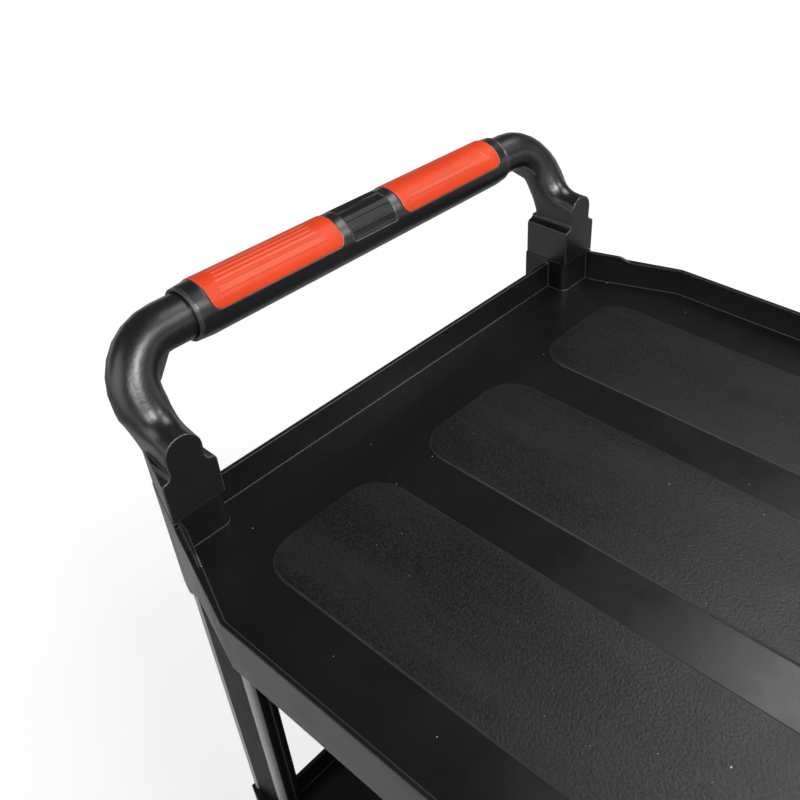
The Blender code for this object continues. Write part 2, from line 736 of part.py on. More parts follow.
def skin(name, rings):
    """A closed solid through rings of as many points each, capped at both ends."""
    bm = bmesh.new()
    made = [[bm.verts.new(point) for point in ring] for ring in rings]
    count = len(made[0])
    for before, after in zip(made[:-1], made[1:]):
        for i in range(count):
            j = (i + 1) % count
            bm.faces.new((before[i], before[j], after[j], after[i]))
    bm.faces.new(made[0])
    bm.faces.new(made[-1])
    return mesh_of(bm, name)


def bend_web(corner, inward, down):
    """The flat web that closes the inside of the elbow's bend."""
    edge = TUBE_RADIUS * 0.995
    deep = TUBE_RADIUS * 0.3
    outline = [(deep, deep), (WEB_REACH, deep), (WEB_REACH, edge), (edge, WEB_REACH),
               (deep, WEB_REACH)]
    bm = bmesh.new()
    add_prism(bm, outline, -BEND_WEB / 2, BEND_WEB / 2)
    frame = Matrix((inward, down, inward.cross(down))).transposed().to_4x4()
    bm.transform(Matrix.Translation(corner) @ frame)
    return mesh_of(bm, "web")


def post_spigot(sx, top):
    """The plug under a boot or a cap that goes into the post's socket, on the +Y side."""
    half_x = SPIGOT_WIDTH / 2
    half_y = SPIGOT_THICKNESS / 2
    return box("spigot", (sx * LEG_X - half_x, LEG_Y - half_y, -SPIGOT_LENGTH),
               (sx * LEG_X + half_x, LEG_Y + half_y, top))


def mirrored(mesh):
    """The same mesh on the other side of the trolley's middle plane."""
    mesh.transform(Matrix.Diagonal((1, -1, 1, 1)))
    mesh.flip_normals()
    return mesh


def elbow_mesh():
    """The left end of the handle: boot, parting step, neck, bent tube, web, spigot and bore."""
    front = -POST_FRONT_X
    rear = -(HALF_LENGTH - BOOT_INSET)
    boot = prism("elbow", boot_outline(), rear, front, "X")
    plan = prism("plan", post_plan(-1, 0.0), -BAR_RISE, BAR_RISE * 2)
    parting = prism("parting", post_plan(-1, -PARTING_DEPTH), FIT, FIT + 2 * PARTING_HEIGHT)
    rings, corner, inward, down = elbow_sections()
    bore_end = GRIP_HALF + CORE_INSERT + FIT
    bore_start = GRIP_HALF - ELBOW_INSERT * 2
    bore = cylinder("bore", (-BAR_X, (bore_start + bore_end) / 2, BAR_RISE),
                    CORE_RADIUS + FIT, bore_end - bore_start, "Y", CORE_SIDES)
    return combined(boot, [("INTERSECT", plan), ("UNION", parting),
                           ("UNION", skin("tube", rings)), ("UNION", bend_web(corner, inward, down)),
                           ("UNION", post_spigot(-1, SHOULDER_RISE / 2)), ("DIFFERENCE", bore)])


def annulus(name, radius_in, radius_out, low, high, sides=GRIP_SIDES):
    """A tube along Y about the bar's axis, as mesh data, made from two cylinders."""
    middle = (0, (low + high) / 2, 0)
    outer = cylinder(name, middle, radius_out, high - low, "Y", sides)
    inner = cylinder(name + "_bore", middle, radius_in, (high - low) * 1.2, "Y", sides)
    return combined(outer, [("DIFFERENCE", inner)])


def saddle(name, radii, span, edge_angle, corner, grow=0.0):
    """A curved plate over the top of the grip with rounded lower corners."""
    radius_in, radius_out = radii
    low_y, high_y = span[0] - grow, span[1] + grow
    edge_z = GRIP_RADIUS * math.sin(math.radians(edge_angle)) - grow
    top_z = GRIP_RADIUS * 2
    outline = [(low_y, edge_z), (high_y, edge_z), (high_y, top_z), (low_y, top_z)]
    outline = rounded(outline, {0: corner, 1: corner}, 5)
    shape = prism("window", outline, -GRIP_RADIUS * 2, GRIP_RADIUS * 2, "X")
    margin = GRIP_RADIUS
    pipe = annulus(name, radius_in, radius_out, low_y - margin, high_y + margin)
    return combined(pipe, [("INTERSECT", shape)])


def pad_span():
    """Where the left pad starts and ends along the bar."""
    return PAD_MIDDLE_MARGIN, GRIP_HALF - PAD_END_MARGIN


def grip_pipe():
    """The grip's housing in one piece: a pipe with tapering collars, each with a groove."""
    taper_start = GRIP_HALF - COLLAR_LENGTH
    slope = COLLAR_TAPER / COLLAR_LENGTH
    ring = GRIP_HALF - COLLAR_RING
    groove = ring - COLLAR_GROOVE_WIDTH
    ring_radius = GRIP_RADIUS - slope * (ring - taper_start)
    groove_radius = GRIP_RADIUS - slope * (groove - taper_start)
    half = [(GRIP_RADIUS - COLLAR_TAPER, GRIP_HALF), (ring_radius, ring),
            (ring_radius - COLLAR_GROOVE, (ring + groove) / 2), (groove_radius, groove),
            (GRIP_RADIUS, taper_start)]
    other_half = [(radius, -y) for radius, y in reversed(half)]
    ends = [(GRIP_BORE, -GRIP_HALF), (GRIP_BORE, GRIP_HALF)]
    mesh = turned("grip", [(GRIP_BORE, GRIP_HALF)] + half + other_half + ends, GRIP_SIDES)
    mesh.transform(Matrix.Rotation(math.pi / 2, 4, "X"))
    return mesh


def split_box(upper):
    """The space on one side of the level cut that parts the strip from the grip's housing."""
    reach = GRIP_RADIUS * 1.5
    level = -GRIP_RADIUS * math.sin(math.radians(STRIP_ANGLE))
    low, high = (level + FIT / 2, reach) if upper else (-reach, level - FIT / 2)
    return box("split", (-reach, -GRIP_HALF * 1.1, low), (reach, GRIP_HALF * 1.1, high))


def grip_upper_mesh():
    """The grip's housing: open below, with a seat each for the two pads and the insert."""
    low, high = pad_span()
    deep = (PAD_SEAT_RADIUS, GRIP_RADIUS * 1.3)
    seats = [saddle("seat", deep, (low, high), PAD_EDGE_ANGLE, PAD_CORNER, FIT),
             saddle("seat", deep, (-high, -low), PAD_EDGE_ANGLE, PAD_CORNER, FIT),
             saddle("seat", deep, (-INSERT_HALF_LENGTH, INSERT_HALF_LENGTH),
                    INSERT_SECTION[0][0], 0.0, FIT)]
    return combined(grip_pipe(), [("INTERSECT", split_box(True)),
                                  ("DIFFERENCE", joined("seats", seats))])


def screw_row(name, radius, low, high):
    """A cylinder at the place of each screw, from low to high, as one tool."""
    bm = bmesh.new()
    for y in (SCREW_SPACING / 2, -SCREW_SPACING / 2):
        add_cylinder(bm, (0, y, (low + high) / 2), radius, high - low)
    return mesh_of(bm, name)


def screw_seat_z():
    """The height of the screw heads' seats against the bar's axis."""
    return -GRIP_RADIUS + SCREW_HEAD_HEIGHT + FIT


def grip_lower_mesh():
    """The strip that closes the grip from below, with a boss and a sunk hole for each screw."""
    boss_top = -CORE_RADIUS - FIT
    wall_middle = -(GRIP_RADIUS + GRIP_BORE) / 2
    bosses = screw_row("bosses", SCREW_HEAD_RADIUS * 1.3, wall_middle, boss_top)
    shanks = screw_row("shanks", SCREW_SHANK_RADIUS + FIT / 2, -GRIP_RADIUS * 1.2, -CORE_RADIUS * 0.5)
    heads = screw_row("heads", SCREW_HEAD_RADIUS + FIT, -GRIP_RADIUS * 1.2, screw_seat_z())
    return combined(grip_pipe(), [("INTERSECT", split_box(False)), ("UNION", bosses),
                                  ("DIFFERENCE", shanks), ("DIFFERENCE", heads)])


def insert_mesh():
    """The grip's middle insert, extruded from one section with its ridges, facets and plate."""
    outer = []
    for angle, share in INSERT_SECTION:
        turn = math.radians(angle)
        radius = GRIP_RADIUS - INSERT_RECESS * share
        outer.append((radius * math.cos(turn), radius * math.sin(turn)))
    outer += [(-x, z) for x, z in reversed(outer)]
    seat = PAD_SEAT_RADIUS + FIT
    edge = math.radians(INSERT_SECTION[0][0])
    steps = GRIP_SIDES // 2
    inner = []
    for k in range(steps + 1):
        turn = math.pi - edge - (math.pi - 2 * edge) * k / steps
        inner.append((seat * math.cos(turn), seat * math.sin(turn)))
    return prism("grip_insert", outer + inner, -INSERT_HALF_LENGTH, INSERT_HALF_LENGTH, "Y")


def core_mesh():
    """The steel tube inside the grip: an open cylinder thickened inwards."""
    length = 2 * (GRIP_HALF + CORE_INSERT)
    bm = bmesh.new()
    place = Matrix.Rotation(-math.pi / 2, 4, "X")
    bmesh.ops.create_cone(bm, cap_ends=False, segments=CORE_SIDES, radius1=CORE_RADIUS,
                          radius2=CORE_RADIUS, depth=length, matrix=place)
    return mesh_of(bm, "handle_core_tube")


def screw_mesh():
    """A pan-head screw pointing up, with its head's underside at the origin."""
    head = SCREW_HEAD_HEIGHT
    shank = -screw_seat_z() - CORE_RADIUS - FIT
    profile = [(0, shank), (SCREW_SHANK_RADIUS, shank), (SCREW_SHANK_RADIUS, 0),
               (SCREW_HEAD_RADIUS, 0), (SCREW_HEAD_RADIUS, -head * 0.6),
               (SCREW_HEAD_RADIUS * 0.8, -head), (0, -head)]
    return turned("grip_screw", profile, PIN_SIDES)


def turned(name, profile, sides):
    """A profile of radius and height turned about Z; it runs from the top down the outer side."""
    bm = bmesh.new()
    made = [bm.verts.new((radius, 0, z)) for radius, z in profile]
    for a, b in zip(made[:-1], made[1:]):
        bm.edges.new((a, b))
    mesh = bpy.data.meshes.new(name)
    bm.to_mesh(mesh)
    bm.free()
    holder = add_tool(mesh)
    screw = holder.modifiers.new("turn", "SCREW")
    screw.axis = "Z"
    screw.angle = 2 * math.pi
    screw.steps = sides
    screw.render_steps = sides
    screw.use_merge_vertices = True
    screw.merge_threshold = 0.00001
    bpy.context.view_layer.update()
    evaluated = holder.evaluated_get(bpy.context.evaluated_depsgraph_get())
    result = bpy.data.meshes.new_from_object(evaluated)
    bpy.data.objects.remove(holder, do_unlink=True)
    clean = bmesh.new()
    clean.from_mesh(result)
    bmesh.ops.remove_doubles(clean, verts=clean.verts, dist=0.000001)
    bpy.data.meshes.remove(result)
    return mesh_of(clean, name)


def make_handle(black, red, steel):
    """Places the elbows, the grip and what is inside it."""
    at_post = (TRAY_X, 0, TOP_Z)
    at_bar = (TRAY_X - BAR_X, 0, TOP_Z + BAR_RISE)
    add_part("handle_elbow_left", elbow_mesh(), black, at_post)
    add_part("handle_elbow_right", mirrored(elbow_mesh()), black, at_post)
    add_part("grip_shell_upper", grip_upper_mesh(), black, at_bar)
    add_part("grip_shell_lower", grip_lower_mesh(), black, at_bar)
    low, high = pad_span()
    radii = (PAD_SEAT_RADIUS + FIT, PAD_RADIUS)
    left = saddle("grip_pad_left", radii, (low, high), PAD_EDGE_ANGLE, PAD_CORNER)
    right = saddle("grip_pad_right", radii, (-high, -low), PAD_EDGE_ANGLE, PAD_CORNER)
    add_part("grip_pad_left", left, red, at_bar)
    add_part("grip_pad_right", right, red, at_bar)
    add_part("grip_insert", insert_mesh(), black, at_bar)
    core = add_part("handle_core_tube", core_mesh(), steel, at_bar)
    wall = core.modifiers.new("wall", "SOLIDIFY")
    wall.thickness = CORE_WALL
    wall.offset = -1
    screw = screw_mesh()
    for side, sy in (("left", 1), ("right", -1)):
        place = (TRAY_X - BAR_X, sy * SCREW_SPACING / 2, TOP_Z + BAR_RISE + screw_seat_z() - FIT)
        add_part("grip_screw_" + side, screw, steel, place)


def cap_mesh():
    """The left cap of the far end: parting step, low body with sloping edges, and spigot."""
    low = FIT + PARTING_HEIGHT
    middle = CAP_HEIGHT / 2
    body = prism("cap", post_plan(1, 0.0), low, middle)
    crown = loft("crown", (post_plan(1, 0.0), middle - FIT), (post_plan(1, -middle), CAP_HEIGHT))
    parting = prism("parting", post_plan(1, -PARTING_DEPTH), FIT, FIT + 2 * PARTING_HEIGHT)
    return combined(body, [("UNION", crown), ("UNION", parting),
                           ("UNION", post_spigot(1, CAP_HEIGHT / 3))])


def make_caps(black):
    """Places the caps that close the post tops at the far end."""
    add_part("post_cap_left", cap_mesh(), black, (TRAY_X, 0, TOP_Z))
    add_part("post_cap_right", mirrored(cap_mesh()), black, (TRAY_X, 0, TOP_Z))


def caster_plate_mesh():
    """A caster's top plate with the upper race under it and a hole for the kingpin."""
    plate = prism("plate", rounded_box(PLATE_LENGTH / 2, PLATE_WIDTH / 2, 0.006, steps=3),
                  -PLATE_THICKNESS, 0)
    race = bmesh.new()
    depth = PLATE_THICKNESS + RACE_HEIGHT
    low = RACE_HEIGHT + PLATE_THICKNESS / 2
    add_cylinder(race, (0, 0, -depth + low / 2), RACE_RADIUS * 0.88, low, sides=HUB_SIDES,
                 tip=RACE_RADIUS)
    hole = cylinder("hole", (0, 0, 0), KINGPIN_RADIUS + FIT, depth * 3, sides=PIN_SIDES)
    return combined(plate, [("UNION", mesh_of(race, "race")), ("DIFFERENCE", hole)])


def fork_outline():
    """The side view of a fork leg: wide at the crown, narrowing to a round eye at the axle."""
    drop = CROWN_TOP_Z - AXLE_Z
    eye = AXLE_RADIUS * 3.2
    width = RACE_RADIUS * 0.92
    points = [(-width, 0), (-width, -CROWN_THICKNESS * 1.6)]
    start = math.radians(160)
    end = math.radians(340)
    for k in range(6):
        angle = start + (end - start) * k / 5
        points.append((-TRAIL + eye * math.cos(angle), -drop + eye * math.sin(angle)))
    points += [(width, -CROWN_THICKNESS * 1.6), (width, 0)]
    return points


def fork_mesh():
    """A fork pressed from one sheet: a U section trimmed to the side view, under a round crown."""
    half_gap = FORK_GAP / 2
    outer = half_gap + FORK_SHEET
    drop = CROWN_TOP_Z - AXLE_Z
    length = RACE_RADIUS + TRAIL
    channel = [(-outer, -drop * 2), (-half_gap, -drop * 2), (-half_gap, -CROWN_THICKNESS),
               (half_gap, -CROWN_THICKNESS), (half_gap, -drop * 2), (outer, -drop * 2),
               (outer, -FIT), (-outer, -FIT)]
    body = prism("fork", channel, -length * 1.5, length, "X")
    side = prism("side", fork_outline(), -outer * 1.1, outer * 1.1, "Y")
    crown = cylinder("crown", (0, 0, -CROWN_THICKNESS * 0.4), RACE_RADIUS, CROWN_THICKNESS * 0.8,
                     sides=HUB_SIDES)
    axle_hole = cylinder("axle_hole", (-TRAIL, 0, -drop), AXLE_RADIUS + FIT / 2, outer * 3, "Y")
    king_hole = cylinder("king_hole", (0, 0, 0), KINGPIN_RADIUS + FIT, FORK_GAP)
    return combined(body, [("INTERSECT", side), ("UNION", crown),
                           ("DIFFERENCE", axle_hole), ("DIFFERENCE", king_hole)])


def kingpin_mesh():
    """The kingpin: a head sunk in the plate's race and a riveted end under the crown."""
    top = -PLATE_THICKNESS * 0.4
    crown_low = -(PLATE_Z - CROWN_TOP_Z) - CROWN_THICKNESS
    low_head = crown_low - FIT
    profile = [(0, top), (KINGPIN_RADIUS, top), (KINGPIN_RADIUS, low_head),
               (KINGPIN_RADIUS * 1.8, low_head), (KINGPIN_RADIUS * 1.8, low_head - 0.003),
               (KINGPIN_RADIUS * 1.2, low_head - 0.005), (0, low_head - 0.005)]
    return turned("kingpin", profile, PIN_SIDES)


def axle_mesh():
    """The axle bolt along Y, with its head on one side of the fork and its nut on the other."""
    reach = FORK_GAP / 2 + FORK_SHEET + FIT
    bm = bmesh.new()
    add_cylinder(bm, (0, 0, 0), AXLE_RADIUS, 2 * reach + 0.006, "Y")
    head = bmesh.new()
    add_cylinder(head, (0, reach + 0.0025, 0), AXLE_RADIUS * 1.8, 0.005, "Y", 6)
    add_cylinder(head, (0, -reach - 0.0025, 0), AXLE_RADIUS * 1.8, 0.005, "Y", 6)
    return combined(mesh_of(bm, "axle"), [("UNION", mesh_of(head, "heads"))])


def bush_mesh():
    """The sleeve on the axle that the wheel turns on, between the fork's legs."""
    length = FORK_GAP - 2 * FIT
    bm = bmesh.new()
    add_cylinder(bm, (0, 0, 0), BUSH_RADIUS, length, "Y")
    bore = cylinder("bore", (0, 0, 0), AXLE_RADIUS + FIT / 2, length * 1.2, "Y")
    return combined(mesh_of(bm, "bush"), [("DIFFERENCE", bore)])


def hub_mesh():
    """The wheel's core: boss, thin web and rim, turned in one profile."""
    bore = BUSH_RADIUS + RUNNING
    rim = WHEEL_RADIUS - TYRE_THICKNESS
    half = WHEEL_WIDTH / 2
    web = half * 0.30
    profile = [(bore, half), (bore * 1.9, half), (bore * 2.1, web), (rim * 0.84, web),
               (rim * 0.88, half * 0.86), (rim, half * 0.86), (rim, -half * 0.86),
               (rim * 0.88, -half * 0.86), (rim * 0.84, -web), (bore * 2.1, -web),
               (bore * 1.9, -half), (bore, -half), (bore, half)]
    mesh = turned("hub", profile, HUB_SIDES)
    mesh.transform(Matrix.Rotation(math.pi / 2, 4, "X"))
    return mesh


def tyre_mesh():
    """The tyre: a ring with a softly crowned tread."""
    seat = WHEEL_RADIUS - TYRE_THICKNESS + FIT
    half = WHEEL_WIDTH / 2
    shoulder = WHEEL_RADIUS - TYRE_THICKNESS * 0.35
    profile = [(seat, half * 0.9), (shoulder, half), (WHEEL_RADIUS, half * 0.5),
               (WHEEL_RADIUS, -half * 0.5), (shoulder, -half), (seat, -half * 0.9),
               (seat, half * 0.9)]
    mesh = turned("tyre", profile, WHEEL_SIDES)
    mesh.transform(Matrix.Rotation(math.pi / 2, 4, "X"))
    return mesh


def make_casters(steel, grey, rubber):
    """Places the four casters; each turns on its own swivel and axle empties."""
    plate = caster_plate_mesh()
    kingpin = kingpin_mesh()
    fork = fork_mesh()
    axle = axle_mesh()
    bush = bush_mesh()
    hub = hub_mesh()
    tyre = tyre_mesh()
    for name, x, y in caster_places():
        add_part("caster_plate_" + name, plate, steel, (x, y, PLATE_Z))
        add_part("kingpin_" + name, kingpin, steel, (x, y, PLATE_Z))
        swivel = bpy.data.objects.new("swivel_" + name, None)
        PARTS.objects.link(swivel)
        swivel.location = (x, y, CROWN_TOP_Z)
        spin = bpy.data.objects.new("spin_" + name, None)
        PARTS.objects.link(spin)
        spin.parent = swivel
        spin.location = (-TRAIL, 0, AXLE_Z - CROWN_TOP_Z)
        add_part("fork_" + name, fork, steel, parent=swivel)
        add_part("axle_" + name, axle, steel, spin.location, parent=swivel)
        add_part("bush_" + name, bush, grey, spin.location, parent=swivel)
        add_part("wheel_hub_" + name, hub, grey, parent=spin)
        add_part("tyre_" + name, tyre, rubber, parent=spin)


def main():
    start_scene()
    gloss_black = make_material("tray_plastic", (0.012, 0.012, 0.013), 0.28)
    satin_black = make_material("handle_plastic", (0.014, 0.014, 0.015), 0.42)
    leg_black = make_material("leg_plastic", (0.010, 0.010, 0.011), 0.35)
    red = make_material("soft_red", (0.84, 0.055, 0.022), 0.48)
    steel = make_material("zinc_steel", (0.62, 0.63, 0.65), 0.32, 1.0)
    grey = make_material("wheel_core", (0.030, 0.030, 0.032), 0.45)
    rubber = make_material("tyre_rubber", (0.045, 0.045, 0.048), 0.6)
    make_trays(gloss_black)
    make_legs(leg_black)
    make_handle(satin_black, red, steel)
    make_caps(satin_black)
    make_casters(steel, grey, rubber)


main()
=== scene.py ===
"""Looks, light and camera for the shelf trolley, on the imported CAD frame."""
import math

import bmesh
import bpy
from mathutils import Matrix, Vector


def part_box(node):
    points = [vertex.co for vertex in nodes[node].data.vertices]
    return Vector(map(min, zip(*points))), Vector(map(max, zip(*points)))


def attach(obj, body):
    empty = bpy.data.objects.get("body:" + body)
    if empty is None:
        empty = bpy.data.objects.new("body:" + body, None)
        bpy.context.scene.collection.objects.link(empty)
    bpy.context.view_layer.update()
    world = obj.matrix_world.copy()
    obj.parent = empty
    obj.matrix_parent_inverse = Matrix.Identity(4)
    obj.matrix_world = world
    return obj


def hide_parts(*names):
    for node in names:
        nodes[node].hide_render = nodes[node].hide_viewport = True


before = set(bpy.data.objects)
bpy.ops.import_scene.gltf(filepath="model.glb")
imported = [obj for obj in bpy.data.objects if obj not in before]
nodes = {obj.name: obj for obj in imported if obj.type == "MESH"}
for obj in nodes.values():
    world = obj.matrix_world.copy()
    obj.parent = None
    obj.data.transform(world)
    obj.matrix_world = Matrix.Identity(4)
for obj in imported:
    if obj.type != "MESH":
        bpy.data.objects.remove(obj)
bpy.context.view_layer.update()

# Places that the looks need, taken from the frame, in metres
TRAY_LOW, TRAY_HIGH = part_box("top_tray")
GRIP_LOW, GRIP_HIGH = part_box("grip_shell_upper")
TRAY_X = (TRAY_LOW[0] + TRAY_HIGH[0]) / 2
TRAY_HALF = (TRAY_HIGH[0] - TRAY_LOW[0]) / 2
TRAY_TOP_Z = TRAY_HIGH[2]
BOOT_FRONT_INSET = 0.0403
BOOT_FRONT_X = TRAY_LOW[0] + BOOT_FRONT_INSET
BAR_X = (GRIP_LOW[0] + GRIP_HIGH[0]) / 2
GRIP_RADIUS = (GRIP_HIGH[0] - GRIP_LOW[0]) / 2
BAR_Z = GRIP_HIGH[2] - GRIP_RADIUS
PAD_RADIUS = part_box("grip_pad_left")[1][2] - BAR_Z

# Edges sharper than this angle in degrees stay creases when the CAD's facets are shaded smooth
CREASE_ANGLE = 38.0
WELD_DISTANCE = 0.00001
FLAT_FACE_WEIGHT = 50

# Raised floor panels of the trays, in plan
PANEL_HALF_LENGTH = TRAY_HALF - 0.0775
PANEL_RADIUS = 0.024
PANEL_EDGE_INSIDE = 0.0006
PANEL_EDGE_OUTSIDE = 0.0002
MIDDLE_PANEL_HALF = 0.049
SIDE_PANEL_Y = 0.13435
SIDE_PANEL_HALF = 0.04875

# Round beads down the legs' outer corners, between the trays, in metres
BEAD_RADIUS = 0.0036
BEAD_OUT = 0.0010
BEAD_GAP = 0.0005
BEAD_SIDES = 24

# Moulded lines on the pads: ends as degrees above level and millimetres along the bar
GROOVES = [((53, -120.7), (53, -43.2)), ((39, -123.6), (39, -39.3)),
           ((53, -120.7), (46, -122.8)), ((46, -122.8), (39, -123.6)),
           ((39, -123.6), (32, -127.2)), ((32, -127.2), (27, -132.0)),
           ((39, -39.3), (53, -43.2)),
           ((39, 36.6), (39, 105.2)), ((50, 39.4), (50, 103.0)), ((24.6, 26.8), (39, 36.6))]
RIDGES = [((64, -120.5), (64, -43.8)), ((74, -119.3), (74, -45.9)),
          ((85, -119.0), (85, -44.0)), ((97, -119.7), (97, -44.0)),
          ((108, -119.7), (108, -44.0)),
          ((62.3, 117.2), (40.3, 120.0))]

# The cuts that form those lines: half width, side shift and depths in millimetres
CUT_HALF_WIDTH = 0.18
RIDGE_SHIFT = 0.42
GROOVE_DEPTH = 0.25
RIDGE_DEPTH = 0.20
CUT_ABOVE = 1.0
CUT_STEP_DEGREES = 4.0

# The pads' flat facet: degrees above level, and spans along the bar in millimetres
FACET_LOW = 39.0
FACET_HIGH = 53.0
FACET_MIDDLE = math.radians(FACET_LOW + FACET_HIGH) / 2
FACET_HALF = math.radians(FACET_HIGH - FACET_LOW) / 2
FACET_SPANS = ((-122.5, -41.0), (38.0, 121.5))

# How far the facet's cutter goes, in half widths of the facet and in radii of the pads
FACET_CUTTER_REACH = 1.5
FACET_CUTTER_TOP = 1.1

# A line's painted tone, highlight on ridges and shade in grooves: its half width in metres, and how
# many half widths out it has faded
LINE_HALF_WIDTH = 0.00019
LINE_FADE = 3

# The facet's painted highlight: where it fades in and out along the bar in metres, and its border
# round the bar in square radians
FACET_NEAR_END = (0.0385, 0.0400)
FACET_FAR_END = (0.1215, 0.1230)
FACET_FADE = 0.002

# Colours, in linear light; a pair is the darkest and the palest tone of one surface
HANDLE_BLACKS = ((0.0038, 0.0038, 0.0042), (0.0065, 0.0065, 0.0070))
LEG_BLACKS = ((0.0060, 0.0060, 0.0066), (0.0090, 0.0090, 0.0096))
# Painted highlight: the beads' pale grey stands for light caught by the legs' rounded corners
BEAD_HIGHLIGHT_GREYS = ((0.42, 0.42, 0.416), (0.50, 0.50, 0.495))
WHEEL_BLACKS = ((0.020, 0.020, 0.022), (0.030, 0.030, 0.032))
TYRE_GREYS = ((0.030, 0.030, 0.032), (0.055, 0.055, 0.056))
ZINC_GREYS = ((0.52, 0.53, 0.55), (0.66, 0.67, 0.69))
GUTTER_BLACKS = ((0.0042, 0.0042, 0.0046), (0.0065, 0.0065, 0.0070))
# Grain of the floor panels; their paler tone is partly painted sheen
SAND_AND_SHEEN_BLACKS = ((0.0008, 0.0008, 0.0010), (0.0150, 0.0150, 0.0164))
WIPED_BLACK = (0.0200, 0.0200, 0.0215)
# Painted highlight on the trays' sharp edges
TRAY_EDGE_GLINT = (0.070, 0.070, 0.072)
TRAY_DUST = (0.55, 0.55, 0.54)
# Painted highlight on the moulded plastic's sharp edges
EDGE_GLINT = (0.105, 0.105, 0.108)
DUST_GREY = (0.30, 0.30, 0.29)
PAD_REDS = ((0.72, 0.046, 0.005), (0.79, 0.060, 0.009))
# Painted highlight on the pads' flat facets
FACET_HIGHLIGHT_RED = (0.86, 0.21, 0.11)
# Painted highlight on the pads' ridges
RIDGE_HIGHLIGHT_RED = (0.92, 0.30, 0.20)
# Painted shade in the pads' grooves
GROOVE_SHADE_RED = (0.28, 0.022, 0.008)
# Painted highlight on the pads' sharp edges
PAD_EDGE_GLINT = (0.95, 0.34, 0.24)
PAD_DUST = (0.85, 0.55, 0.48)
FLOOR_GREY = (0.90, 0.90, 0.90, 1.0)
WHITE = (1.0, 1.0, 1.0, 1.0)

# Noise scale per metre of the grain in moulded plastic
GRAIN_SCALE = 560.0

# The camera that matches the photograph: lens and sensor in millimetres, place in metres from
# the boots' front and above the trays' rim, and turn in radians
CAMERA_LENS = 40.529
CAMERA_SENSOR = 36.0
CAMERA_SHIFT = -0.1
CAMERA_OUT = 0.371485
CAMERA_Y = -0.365545
CAMERA_UP = 0.373855
CAMERA_TURN = (0.902276, 0.014514, 0.704083)

# How white the surroundings are seen, how much light they give, and where they change: heights
# on a unit sphere for the horizon, metres from the middle for the floor
WORLD_LIGHT = 0.16
CEILING_SEEN = 0.10
HORIZON_LOW = 0.02
HORIZON_HIGH = 0.14
FLOOR_SIZE = 14.0
FLOOR_NEAR = 0.9
FLOOR_FAR = 2.8
NEAR_LIFT = 0.50
FAR_LIFT = 0.92
MIRRORED_NEAR_LIFT = 0.0
MIRRORED_FAR_LIFT = 0.08

# Points that the soft boxes face, in metres
HANDLE = (-0.4, 0.0, 0.95)
TRAY = (-0.15, 0.0, 0.87)

# Soft boxes: place and point that they face, side in metres and power in watts
BOXES = {"main_box": ((1.26, -0.24, 2.36), HANDLE, 0.8, 8.2),
         "front_box": ((0.98, -1.16, 2.05), HANDLE, 0.6, 3.2),
         "side_box": ((1.02, 1.11, 2.21), HANDLE, 0.5, 2.2),
         "left_box": ((-0.87, -1.76, 1.8), HANDLE, 1.5, 3.2),
         "top_box": ((-0.05, 1.12, 2.6), TRAY, 0.9, 3.8)}
BOX_SPREAD_DEGREES = 100.0


class Nodes:
    """Helpers for building one node tree."""

    def __init__(self, tree):
        self.tree = tree

    def node(self, kind, **values):
        """A new node with some of its settings."""
        made = self.tree.nodes.new(kind)
        for key, value in values.items():
            setattr(made, key, value)
        return made

    def link(self, source, target):
        """Links two sockets."""
        self.tree.links.new(source, target)

    def feed(self, target, item):
        """Links a socket, or sets a number or a vector."""
        if isinstance(item, bpy.types.NodeSocket):
            self.link(item, target)
        else:
            target.default_value = item

    def position(self):
        """Object coordinates in metres, which the CAD nodes share with the row frame."""
        return self.node("ShaderNodeTexCoord").outputs["Object"]

    def parts_of(self, vector):
        """The X, Y and Z of a vector."""
        made = self.node("ShaderNodeSeparateXYZ")
        self.link(vector, made.inputs["Vector"])
        return made.outputs["X"], made.outputs["Y"], made.outputs["Z"]

    def spread(self, value, low, high, out_low, out_high):
        """Maps a value from one range to another, clamped."""
        made = self.node("ShaderNodeMapRange")
        made.inputs["From Min"].default_value = low
        made.inputs["From Max"].default_value = high
        self.feed(made.inputs["To Min"], out_low)
        self.feed(made.inputs["To Max"], out_high)
        self.link(value, made.inputs["Value"])
        return made.outputs["Result"]

    def by_mask(self, mask, at_none, at_one):
        """One value where a mask is none and another where it is one."""
        return self.spread(mask, 0.0, 1.0, at_none, at_one)

    def maths(self, operation, *items):
        """One math step on values or numbers."""
        made = self.node("ShaderNodeMath", operation=operation)
        for socket, item in zip(made.inputs, items):
            self.feed(socket, item)
        return made.outputs["Value"]

    def vector(self, operation, first, second=None):
        """One vector step on made or constant vectors; second is a number for SCALE."""
        made = self.node("ShaderNodeVectorMath", operation=operation)
        self.feed(made.inputs[0], first)
        if second is not None:
            self.feed(made.inputs["Scale" if operation == "SCALE" else 1], second)
        return made.outputs["Value" if operation in ("DOT_PRODUCT", "LENGTH") else "Vector"]

    def seen_rays(self):
        """One for rays that look at the background: the camera's, mirrored and transmitted ones."""
        path = self.node("ShaderNodeLightPath")
        total = path.outputs["Is Camera Ray"]
        for name in ("Is Glossy Ray", "Is Transmission Ray"):
            total = self.maths("MAXIMUM", total, path.outputs[name])
        return total


